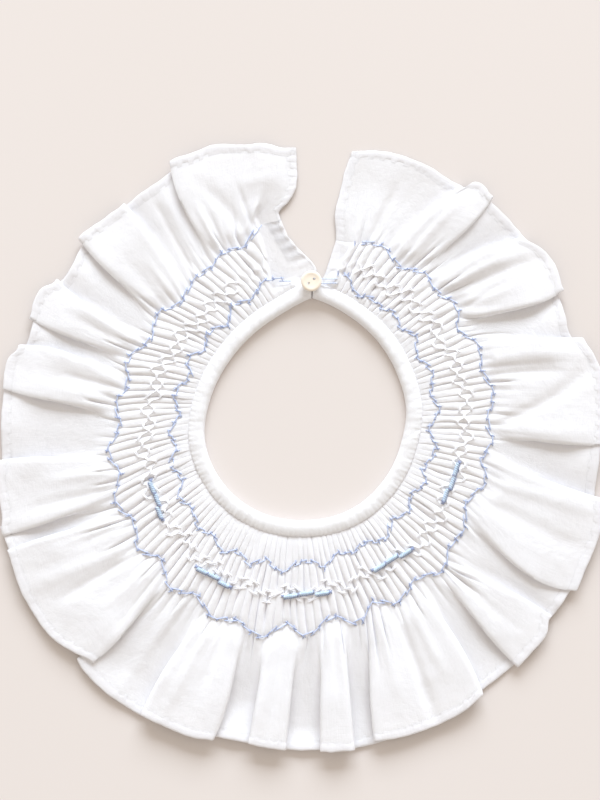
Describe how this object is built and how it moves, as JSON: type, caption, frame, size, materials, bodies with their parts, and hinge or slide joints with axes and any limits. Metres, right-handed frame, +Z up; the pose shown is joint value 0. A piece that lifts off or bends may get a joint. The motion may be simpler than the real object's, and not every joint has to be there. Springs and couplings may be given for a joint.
{
  "type": "smocked round frill collar",
  "caption": "Flat round cotton collar: a smocked band round a bound neck edge, opening into a deep fluted frill, with a back opening closed by a button and thread loop.",
  "frame": {"origin": "bottom centre of the whole collar's box, on the surface that it lies on", "axes": "+Z up from the surface, +Y from the middle of the neck towards the back opening, +X to the right of it seen from above"},
  "size_m": [0.2644, 0.2666, 0.0069],
  "materials": {
    "cotton_batiste": "sheer white plain weave, matt",
    "cotton_bias": "white bias-cut plain weave, matt",
    "button": "cream, softly polished",
    "embroidery_thread": "pale blue stranded cotton, soft sheen"
  },
  "bodies": {
    "root": {"smocked_frill": "cotton_batiste", "neck_binding": "cotton_bias", "button": "button", "thread_loop": "embroidery_thread"}
  },
  "joints": []
}
